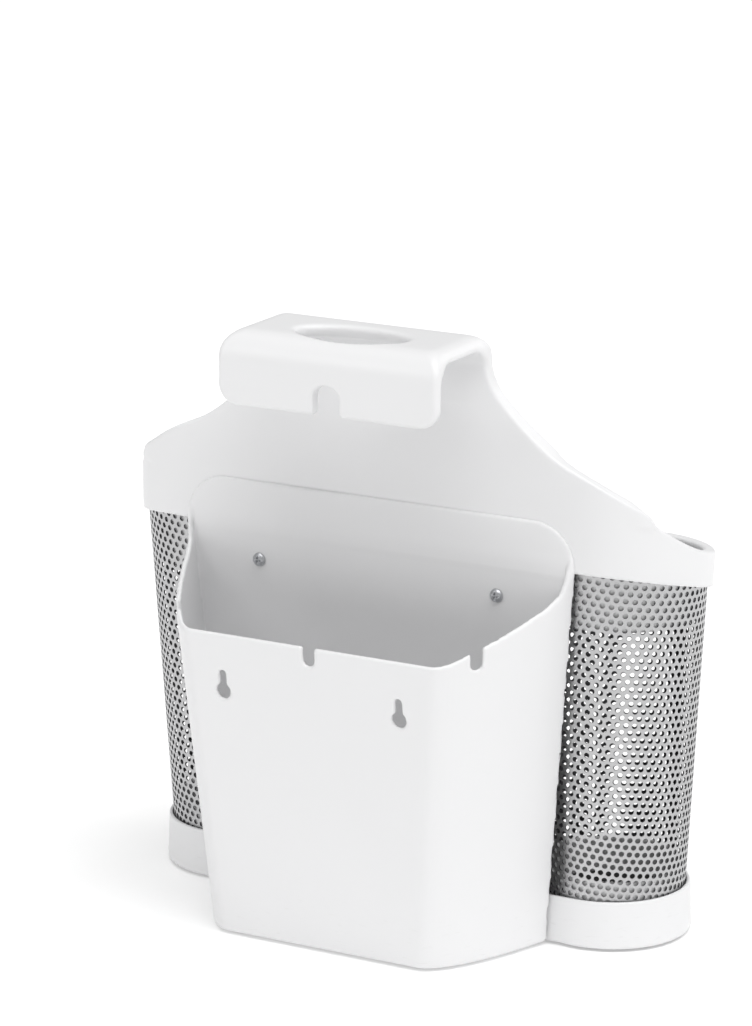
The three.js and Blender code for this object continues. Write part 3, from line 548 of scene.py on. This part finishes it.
def bin_field(x, y, z):
    """Distance from the cord bin: walls round a floor, cut off by the mouth's curve, with a
    rounded back plate above, less the cord notches and the two keyholes."""
    ax = np.abs(x)
    outline = bin_outline_distance(x, y, z)
    height, rate = eased(y, *MOUTH)
    height, rate = np.maximum(height, MOUTH_LOW_Z), np.where(height < MOUTH_LOW_Z, 0, rate)
    mouth = (z - height) / np.hypot(1.0, rate)
    inside = rounded(outline + BIN_WALL, 3.9 - z, 2.5)
    walls = np.maximum(rounded(outline, STAND_Z - z, 1.4), -inside)
    lip = rounded(walls, np.where(y < PLATE_Y, z - HEAD_Z, mouth), 1.05)
    sheet = slab(y, PLATE_Y - BIN_WALL, PLATE_Y)
    plate = rounded(rounded(ax - BIN_HEAD[0][0], z - PLATE_TOP_Z, PLATE_CORNER), sheet, 0.8)
    plate = np.maximum(plate, HEAD_Z - 3.0 - z)
    body = blended(lip, plate, 0.4)
    slot = np.hypot(x, np.minimum(z - CENTRE_NOTCH_Z, 0)) - CORD_NOTCH_R
    body = rounded(body, -np.maximum(slot, -20.0 - y), 0.8)
    c, s = math.cos(CORNER_NOTCH_TURN), math.sin(CORNER_NOTCH_TURN)
    dx, dy = ax - CORNER_NOTCH_X, y - CORNER_NOTCH_Y
    across, along = dx * -s + dy * c, dx * c + dy * s
    corner = np.hypot(across, np.minimum(z - CORNER_NOTCH_Z, 0)) - CORD_NOTCH_R
    corner = np.maximum(corner, np.abs(along) - CORNER_NOTCH_HALF)
    body = rounded(body, -corner, 0.8)
    eye = np.hypot(ax - KEYHOLE_X, z - KEYHOLE_Z) - KEYHOLE_R
    stem = np.hypot(ax - KEYHOLE_X, z - np.clip(z, KEYHOLE_Z, KEYHOLE_Z + STEM_RISE)) - STEM_R
    return rounded(body, -np.maximum(np.minimum(eye, stem), -15.0 - y), 0.5)


# ---- Finishes -------------------------------------------------------------------------------
class Value:
    """A number socket that takes part in Python expressions by adding Math nodes."""

    def __init__(self, net, socket):
        self.net, self.socket = net, socket

    def maths(self, operation, *others):
        sockets = [o.socket if isinstance(o, Value) else o for o in others]
        return Value(self.net, self.net.node("ShaderNodeMath", {"operation": operation}, *sockets).outputs[0])

    def __add__(self, other):
        return self.maths("ADD", self, other)

    def __sub__(self, other):
        return self.maths("SUBTRACT", self, other)

    def __mul__(self, other):
        return self.maths("MULTIPLY", self, other)

    def __rsub__(self, other):
        return self.maths("SUBTRACT", other, self)

    __radd__ = __add__
    __rmul__ = __mul__

    def clamp(self, low=0.0, high=1.0):
        return self.maths("MINIMUM", self.maths("MAXIMUM", self, low), high)


class Net:
    """A material's node tree, with one method that adds any node."""

    def __init__(self, name, **constants):
        self.material = bpy.data.materials.new(name)
        self.material.use_nodes = True
        self.tree = self.material.node_tree
        self.shader = self.tree.nodes["Principled BSDF"]
        for key, value in constants.items():
            self.shader.inputs[key.replace("_", " ")].default_value = value
        coords = self.tree.nodes.new("ShaderNodeTexCoord")
        self.place = coords.outputs["Object"]

    def node(self, kind, settings, *values, **named):
        made = self.tree.nodes.new(kind)
        for key, value in settings.items():
            setattr(made, key, value)
        slots = list(enumerate(values)) + [(k.replace("_", " "), v) for k, v in named.items()]
        for key, value in slots:
            if isinstance(value, Value):
                value = value.socket
            if isinstance(value, bpy.types.NodeSocket):
                self.tree.links.new(value, made.inputs[key])
            elif value is not None:
                made.inputs[key].default_value = value
        return made

    def noise(self, scale, detail=3.0, stretch=(1, 1, 1), rough=0.5):
        """Noise in object space, about 0.5, with its pattern stretched by a factor on each axis."""
        scaled = self.node("ShaderNodeVectorMath", {"operation": "MULTIPLY"}, self.place, stretch).outputs[0]
        made = self.node("ShaderNodeTexNoise", {}, Vector=scaled, Scale=scale, Detail=detail, Roughness=rough)
        return Value(self, made.outputs["Fac"])

    def height(self):
        split = self.node("ShaderNodeSeparateXYZ", {}, self.place)
        return Value(self, split.outputs["Z"])

    def mix(self, mask, first, second):
        """A colour between two others."""
        made = self.node("ShaderNodeMix", {"data_type": "RGBA"})
        self.feed(made.inputs[0], mask)
        self.feed(made.inputs[6], first)
        self.feed(made.inputs[7], second)
        return made.outputs[2]

    def feed(self, socket, value):
        if isinstance(value, Value):
            value = value.socket
        if isinstance(value, bpy.types.NodeSocket):
            self.tree.links.new(value, socket)
        else:
            socket.default_value = value

    def surface(self, colour=None, roughness=None, bumps=()):
        """Feeds the shader. Each bump is (height value, depth in metres), one over the other."""
        if colour is not None:
            self.feed(self.shader.inputs["Base Color"], colour)
        if roughness is not None:
            self.feed(self.shader.inputs["Roughness"], roughness)
        normal = None
        for value, depth in bumps:
            made = self.node("ShaderNodeBump", {}, Strength=1.0, Distance=depth, Height=value, Normal=normal)
            normal = made.outputs[0]
        if normal is not None:
            self.feed(self.shader.inputs["Normal"], normal)
        return self.material


def rgba(colour, factor=1.0):
    return (*(min(c * factor, 1.0) for c in colour), 1.0)


def moulded_white(colour):
    """Satin moulded plastic: a fine spark-eroded grain, a slow gloss change, and faint handling
    marks that gather towards the foot."""
    net = Net("moulded_white", Specular_IOR_Level=0.5)
    broad = net.noise(14.0, 2.0)
    grain = net.noise(2600.0, 2.0)
    swirl = net.noise(9.0, 4.0)
    scuff = (net.noise(160.0, 3.0, (1, 1, 5)) - 0.62).clamp() * 3.0
    low = ((0.03 - net.height()) * 40.0).clamp()
    dirt = (scuff * low + scuff * 0.12).clamp()
    tint = net.mix(broad, rgba(colour, 0.975), rgba(colour))
    shade = net.mix(dirt * 0.5, tint, rgba((0.62, 0.61, 0.6)))
    rough = 0.30 + swirl * 0.10 + dirt * 0.2
    return net.surface(shade, rough, [(swirl, 0.00012), (grain, 0.0000045)])


def rolled_steel(colour):
    """Stainless sheet with fine drawn lines round the can and a few soft dull patches. The punched
    edges and the inner face take a separate darker finish, a painted shade."""
    net = Net("rolled_steel", Metallic=1.0)
    lines = net.noise(320.0, 4.0, (0.25, 0.25, 9), 0.65)
    patch = net.noise(22.0, 3.0)
    smear = net.noise(75.0, 3.0)
    tone = net.mix(lines, rgba(colour, 0.86), rgba(colour, 1.08))
    tone = net.mix((patch - 0.5).clamp() * 0.8, tone, rgba(colour, 0.8))
    rough = 0.22 + patch * 0.14 + lines * 0.10 + smear * 0.05
    return net.surface(tone, rough, [(lines, 0.000018), (smear, 0.00002)])


def inner_steel_painted_shade(colour):
    """The unpolished inner face and punched edges: rougher than the outside, and painted darker as shade, so
    that the holes read dark.
    """
    net = Net("inner_steel_painted_shade", Metallic=1.0)
    blotch = net.noise(40.0, 4.0)
    grain = net.noise(900.0, 2.0)
    shade = net.mix(blotch, rgba(colour, 0.8), rgba(colour, 1.15))
    return net.surface(shade, 0.42 + blotch * 0.2, [(grain, 0.00001)])


def silicone(colour):
    """Soft matt silicone with a fine grain and paler grey dust in random patches."""
    net = Net("silicone", Specular_IOR_Level=0.35)
    grain = net.noise(1500.0, 2.0)
    dust = (net.noise(60.0, 5.0) - 0.48).clamp() * 1.6
    shade = net.mix(dust * 0.35, rgba(colour), rgba((0.30, 0.30, 0.30)))
    return net.surface(shade, 0.62 + grain * 0.15, [(grain, 0.00001)])


def foot_rubber(colour):
    """Black moulded rubber, worn paler in small patches."""
    net = Net("foot_rubber", Specular_IOR_Level=0.3)
    wear = (net.noise(240.0, 4.0) - 0.5).clamp() * 2.0
    grain = net.noise(1800.0, 2.0)
    shade = net.mix(wear * 0.5, rgba(colour), rgba((0.12, 0.12, 0.12)))
    return net.surface(shade, 0.7 + wear * 0.2, [(grain, 0.000012)])


def zinc_plate(colour):
    """Bright zinc on a screw: slightly blotched, with turning lines."""
    net = Net("zinc_plate", Metallic=1.0)
    blotch = net.noise(700.0, 3.0)
    lines = net.noise(3000.0, 2.0, (1, 1, 0.2))
    shade = net.mix(blotch, rgba(colour, 0.85), rgba(colour, 1.1))
    return net.surface(shade, 0.28 + blotch * 0.2, [(lines, 0.000006)])


def pale_floor(colour):
    """A matt white sweep, lit a little from within so that it meets the background."""
    net = Net("pale_floor", Roughness=0.6, Specular_IOR_Level=0.15,
              Emission_Color=(1, 1, 1, 1), Emission_Strength=0.2)
    return net.surface(net.mix(net.noise(3.0, 2.0), rgba(colour, 0.995), rgba(colour)))


def material(name):
    """The finish of that name, made once from the scene's settings."""
    made = bpy.data.materials.get(name)
    if made:
        return made
    settings = bpy.context.scene.caddy
    recipe = {
        "moulded_white": (moulded_white, settings.plastic_colour),
        "rolled_steel": (rolled_steel, settings.steel_colour),
        "inner_steel_painted_shade": (inner_steel_painted_shade, settings.inside_painted_shade_colour),
        "silicone": (silicone, settings.pad_colour),
        "foot_rubber": (foot_rubber, settings.rubber_colour),
        "zinc_plate": (zinc_plate, settings.screw_colour),
        "pale_floor": (pale_floor, settings.floor_colour),
    }[name]
    return recipe[0](tuple(recipe[1]))


# ---- Settings -------------------------------------------------------------------------------
class CaddySettings(bpy.types.PropertyGroup):
    """Sizes and colours that a user may change before the pieces are built."""

    plastic_colour: FloatVectorProperty(
        name="Plastic", description="Colour of the white mouldings", subtype="COLOR",
        size=3, min=0, max=1, default=(0.85, 0.85, 0.856))
    steel_colour: FloatVectorProperty(
        name="Steel", description="Colour of the perforated sheet", subtype="COLOR",
        size=3, min=0, max=1, default=(0.50, 0.50, 0.505))
    # The inner face's colour is kept dark as painted shade seen through the holes, not as the steel's own
    # tone.
    inside_painted_shade_colour: FloatVectorProperty(
        name="Steel inside", description="Colour of the sheet's inner face", subtype="COLOR",
        size=3, min=0, max=1, default=(0.10, 0.10, 0.104))
    pad_colour: FloatVectorProperty(
        name="Pad", description="Colour of the heat-resistant pads", subtype="COLOR",
        size=3, min=0, max=1, default=(0.045, 0.046, 0.05))
    rubber_colour: FloatVectorProperty(
        name="Rubber", description="Colour of the feet", subtype="COLOR",
        size=3, min=0, max=1, default=(0.025, 0.025, 0.026))
    screw_colour: FloatVectorProperty(
        name="Screws", description="Colour of the zinc screws", subtype="COLOR",
        size=3, min=0, max=1, default=(0.58, 0.59, 0.61))
    floor_colour: FloatVectorProperty(
        name="Floor", description="Colour of the floor", subtype="COLOR",
        size=3, min=0, max=1, default=(0.93, 0.93, 0.93))
    hole: FloatProperty(
        name="Hole", description="Diameter of a hole in the sheet", default=2.5 * MM,
        min=1.5 * MM, max=2.8 * MM, unit="LENGTH")
    row_pitch: FloatProperty(
        name="Row pitch", description="Distance between rows of holes", default=3.35 * MM,
        min=3.2 * MM, max=4.5 * MM, unit="LENGTH")
    side_holes: IntProperty(
        name="Holes, side", description="Holes round a side canister", default=60, min=40, max=66)
    centre_holes: IntProperty(
        name="Holes, centre", description="Holes round the centre canister", default=70, min=50, max=76)
    sheet_wall: FloatProperty(
        name="Sheet", description="Thickness of the perforated sheet", default=0.6 * MM,
        min=0.3 * MM, max=0.8 * MM, unit="LENGTH")
    edge: FloatProperty(
        name="Post edge", description="Rounding of the tie posts' edges", default=0.49 * MM,
        min=0.1 * MM, max=0.65 * MM, unit="LENGTH")


# ---- Pieces ---------------------------------------------------------------------------------
def moulding(node, name, edge, angle=32.0):
    """A CAD node's copy, merged and freed of flat seams, with its sharp edges rounded off."""
    form = bmesh.new()
    form.from_mesh(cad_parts[node].data)
    bmesh.ops.remove_doubles(form, verts=form.verts, dist=2e-6)
    bmesh.ops.dissolve_limit(form, angle_limit=math.radians(0.6), verts=form.verts, edges=form.edges)
    mesh = bpy.data.meshes.new(name)
    form.to_mesh(mesh)
    form.free()
    mesh.shade_smooth()
    mesh.set_sharp_from_angle(angle=math.radians(angle))
    piece = link(name, mesh, material("moulded_white"))
    bevel = piece.modifiers.new("edge", "BEVEL")
    bevel.width = edge
    bevel.segments = 3
    bevel.limit_method = "ANGLE"
    bevel.angle_limit = math.radians(angle)
    bevel.use_clamp_overlap = False
    bevel.miter_outer = "MITER_ARC"
    bevel.harden_normals = True
    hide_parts(node)
    return piece


def pan_head(middle, head_r, tall, way):
    """A screw whose head faces along way, with its box centred on middle. The head is an ellipse
    turned round, w = rise sqrt(1 - (r / head_r)^2), less a cross of two arms that taper in depth
    from the middle, depth (1 - r / reach) inside them."""
    rise, shank_r, arm, reach, depth = 2.0 * MM, 1.5 * MM, 0.42 * MM, 2.1 * MM, 1.3 * MM
    r = head_r * np.sin(np.linspace(np.pi / 2, 0, 34))
    seat = tall / 2 - rise
    profile = [(0, -tall / 2), (shank_r, -tall / 2 + shank_r), (shank_r, seat)]
    profile += list(zip(r, seat + rise * np.sqrt(np.maximum(1 - (r / head_r) ** 2, 0))))
    points, faces = lathe(profile, (0, 0, 0), 96)
    u, v = np.abs(points[:, 0]), np.abs(points[:, 1])
    cross = np.minimum(u, v) - arm
    cut = depth * np.clip(-cross / (0.3 * arm), 0, 1) * np.clip(1 - np.hypot(u, v) / reach, 0, 1)
    points[:, 2] -= cut * (points[:, 2] > seat + 0.01 * MM)
    ahead = np.array(way, float)
    across = np.array((1.0, 0.0, 0.0))
    turned = np.stack([across, np.cross(ahead, across), ahead])
    return middle + points @ turned, faces


def wall_piece(name, field, xs, ys, zs, node):
    """A moulding from its distance field, in place of a CAD node."""
    points, quads = skin_of(field, xs, ys, zs)
    points = (points + (0, WALL_Y, 0)) * MM
    piece = link(name, mesh_from(name, points, quads.tolist(), 180.0), material("moulded_white"))
    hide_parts(node)
    return piece


class CADDY_OT_top_shell(bpy.types.Operator):
    """The white moulding with the over-hook handle, the shoulders and the band"""

    bl_idname = "caddy.top_shell"
    bl_label = "Top shell"

    def execute(self, context):
        lines = axis((-141.6, -120, 0.8), (-120, 120, 1.12), (120, 141.6, 0.8))
        deep = axis((-149.4, -132, 0.8), (-132, -64, 1.1), (-64, -49, 0.9), (-49, -13, 1.4), (-13, -3.5, 0.9))
        up = axis((147, 176, 0.9), (176, 238, 1.2), (238, 276.2, 1.0))
        wall_piece("shell_moulding", shell_field, lines, deep, up, "top_shell")
        return {"FINISHED"}


class CADDY_OT_cord_bin(bpy.types.Operator):
    """The rear bin with its back plate, keyholes and cord notches"""

    bl_idname = "caddy.cord_bin"
    bl_label = "Cord bin"

    def execute(self, context):
        lines = axis((-99, -49, 1.3), (-49, -39, 0.8), (-39, -4, 1.8), (-4, 4, 0.7),
                     (4, 39, 1.8), (39, 49, 0.8), (49, 99, 1.3))
        deep = axis((-59.5, -48, 1.0), (-48, -8, 1.5), (-8, 15, 1.0))
        up = axis((0.6, 8, 1.2), (8, 108, 2.2), (108, 130, 0.9), (130, 148, 0.9), (148, 198, 1.4))
        wall_piece("bin_moulding", bin_field, lines, deep, up, "cord_bin")
        return {"FINISHED"}


class CADDY_OT_base(bpy.types.Operator):
    """The base moulding, the collars and the tie posts"""

    bl_idname = "caddy.base"
    bl_label = "Base, collars and posts"

    def execute(self, context):
        edge = context.scene.caddy.edge
        lines = axis((-134, 134, 1.0))
        deep = axis((-146, -57, 1.0))
        up = axis((0.4, 9.4, 1.3), (9.4, 14, 0.9), (14, 21.2, 1.4), (21.2, 23.6, 0.45), (23.6, 33.5, 1.4))
        wall_piece("base_moulding", base_field, lines, deep, up, "base")
        for side in SIDES:
            points, faces = collar_sleeve(side, 144)
            piece = link(f"collar_sleeve_{side}", mesh_from(f"collar_sleeve_{side}", points, faces, 50.0),
                         material("moulded_white"))
            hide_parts(f"collar_{side}")
        for side in ("left", "right"):
            moulding(f"tie_post_{side}", f"tie_post_rod_{side}", edge)
        return {"FINISHED"}


class CADDY_OT_canisters(bpy.types.Operator):
    """The three canisters of perforated sheet"""

    bl_idname = "caddy.canisters"
    bl_label = "Canisters"

    def execute(self, context):
        settings = context.scene.caddy
        for side in SIDES:
            columns = settings.centre_holes if side == "centre" else settings.side_holes
            points, faces, outer = perforated_sheet(
                side, columns, settings.row_pitch / MM, settings.hole / MM / 2,
                settings.sheet_wall / MM, SHEET_TURNS, HOLE_SIDES)
            mesh = mesh_from(f"perforated_{side}", points, faces, 40.0)
            piece = link(f"perforated_{side}", mesh, material("rolled_steel"))
            # Inner faces and punched edges take the darker steel: painted shade seen through the holes.
            mesh.materials.append(material("inner_steel_painted_shade"))
            painted_shade_faces = np.arange(len(mesh.polygons)) >= outer
            mesh.polygons.foreach_set("material_index", painted_shade_faces.astype(np.int32))
            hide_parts(f"canister_{side}")
        return {"FINISHED"}


class CADDY_OT_pads(bpy.types.Operator):
    """The heat-resistant pads that lift out of the wells"""

    bl_idname = "caddy.pads"
    bl_label = "Pads"

    def execute(self, context):
        for side in SIDES:
            centre, radius, thick = disc_of(f"pad_{side}")
            ribs = np.linspace(0.92, 0.12, 60) * radius
            turns = np.linspace(0, PAD_RINGS * 2 * np.pi, 60)
            wave = thick - PAD_RING_DEPTH * (0.5 - 0.5 * np.cos(turns))
            profile = [(0, 0), (radius - SOFT_EDGE, 0)]
            profile += quarter(radius, SOFT_EDGE, 0, 1) + quarter(radius, SOFT_EDGE, thick, -1)
            profile += list(zip(ribs, wave)) + [(0, thick)]
            points, faces = lathe(profile, centre, 96)
            piece = link(f"silicone_pad_{side}", mesh_from(f"silicone_pad_{side}", points, faces, 60.0),
                         material("silicone"), f"pad_{side}")
            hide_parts(f"pad_{side}")
        return {"FINISHED"}


class CADDY_OT_feet(bpy.types.Operator):
    """The rubber feet under the base and the bin"""

    bl_idname = "caddy.feet"
    bl_label = "Feet"

    def execute(self, context):
        for name in sorted(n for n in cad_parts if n.startswith("foot_")):
            centre, radius, thick = disc_of(name)
            edge = min(SOFT_EDGE, thick * 0.4)
            profile = [(0, FOOT_DISH), (radius * 0.45, FOOT_DISH), (radius * 0.6, 0), (radius - edge, 0)]
            profile += quarter(radius, edge, 0, 1)
            profile += [(radius, thick - FOOT_BREAK), (radius - FOOT_BREAK, thick), (0, thick)]
            points, faces = lathe(profile, centre, 48)
            piece = link(f"rubber_{name}", mesh_from(f"rubber_{name}", points, faces, 50.0),
                         material("foot_rubber"))
            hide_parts(name)
        return {"FINISHED"}


class CADDY_OT_screws(bpy.types.Operator):
    """The screws under the base and inside the bin"""

    bl_idname = "caddy.screws"
    bl_label = "Screws"

    def execute(self, context):
        for node in sorted(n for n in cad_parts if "screw" in n):
            low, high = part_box(node)
            middle = (np.array(low) + np.array(high)) / 2
            way = (0, 0, -1) if node.startswith("post") else (0, 1, 0)
            points, faces = pan_head(middle, (high - low).x / 2, np.ptp(np.array([low, high]) @ way), way)
            piece = link(f"pan_head_{node}", mesh_from(f"pan_head_{node}", points, faces, 40.0),
                         material("zinc_plate"))
            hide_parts(node)
        return {"FINISHED"}


class CADDY_OT_stage(bpy.types.Operator):
    """The floor, the soft lights and the camera"""

    bl_idname = "caddy.stage"
    bl_label = "Stage"

    def execute(self, context):
        scene = context.scene
        mesh = bpy.data.meshes.new("floor")
        half = FLOOR_HALF
        corners = [(-half, -half, 0), (half, -half, 0), (half, half, 0), (-half, half, 0)]
        mesh.from_pydata(corners, [], [(0, 1, 2, 3)])
        mesh.materials.append(material("pale_floor"))
        floor = bpy.data.objects.new("floor", mesh)
        scene.collection.objects.link(floor)
        world = bpy.data.worlds.new("studio")
        scene.world = world
        world.use_nodes = True
        world.node_tree.nodes["Background"].inputs["Color"].default_value = (1, 1, 1, 1)
        world.node_tree.nodes["Background"].inputs["Strength"].default_value = WORLD_STRENGTH
        for name, kind, place, size, power in LAMPS:
            light = bpy.data.lights.new(name, kind)
            light.energy = power
            if kind == "SUN":
                light.angle = math.radians(size)
            else:
                light.shape, light.size = "DISK", size
            lamp = bpy.data.objects.new(name, light)
            scene.collection.objects.link(lamp)
            lamp.location = place
            lamp.rotation_mode = "QUATERNION"
            lamp.rotation_quaternion = (Vector(AIM) - Vector(place)).to_track_quat("-Z", "Y")
        camera = bpy.data.cameras.new("camera")
        camera.lens, camera.sensor_width = CAMERA_LENS, CAMERA_SENSOR
        eye = bpy.data.objects.new("camera", camera)
        scene.collection.objects.link(eye)
        eye.location = CAMERA_PLACE
        eye.rotation_mode = "QUATERNION"
        eye.rotation_quaternion = Vector(CAMERA_WAY).to_track_quat("-Z", "Y")
        scene.camera = eye
        scene.view_settings.view_transform = "Standard"
        return {"FINISHED"}


class CADDY_PT_panel(bpy.types.Panel):
    """The caddy's settings and its pieces"""

    bl_idname = "CADDY_PT_panel"
    bl_label = "Hair-tool caddy"
    bl_space_type = "VIEW_3D"
    bl_region_type = "UI"
    bl_category = "Caddy"

    def draw(self, context):
        for key in CaddySettings.__annotations__:
            self.layout.prop(context.scene.caddy, key)
        for operator in OPERATORS:
            self.layout.operator(operator.bl_idname)


OPERATORS = (
    CADDY_OT_stage, CADDY_OT_top_shell, CADDY_OT_cord_bin, CADDY_OT_base, CADDY_OT_canisters,
    CADDY_OT_pads, CADDY_OT_feet, CADDY_OT_screws,
)
CLASSES = (CaddySettings, *OPERATORS, CADDY_PT_panel)


def register():
    for cls in CLASSES:
        bpy.utils.register_class(cls)
    bpy.types.Scene.caddy = PointerProperty(type=CaddySettings)


def unregister():
    del bpy.types.Scene.caddy
    for cls in reversed(CLASSES):
        bpy.utils.unregister_class(cls)


def main():
    """Builds every piece in order."""
    register()
    for operator in OPERATORS:
        group, name = operator.bl_idname.split(".")
        getattr(getattr(bpy.ops, group), name)()


if __name__ == "__main__":
    main()
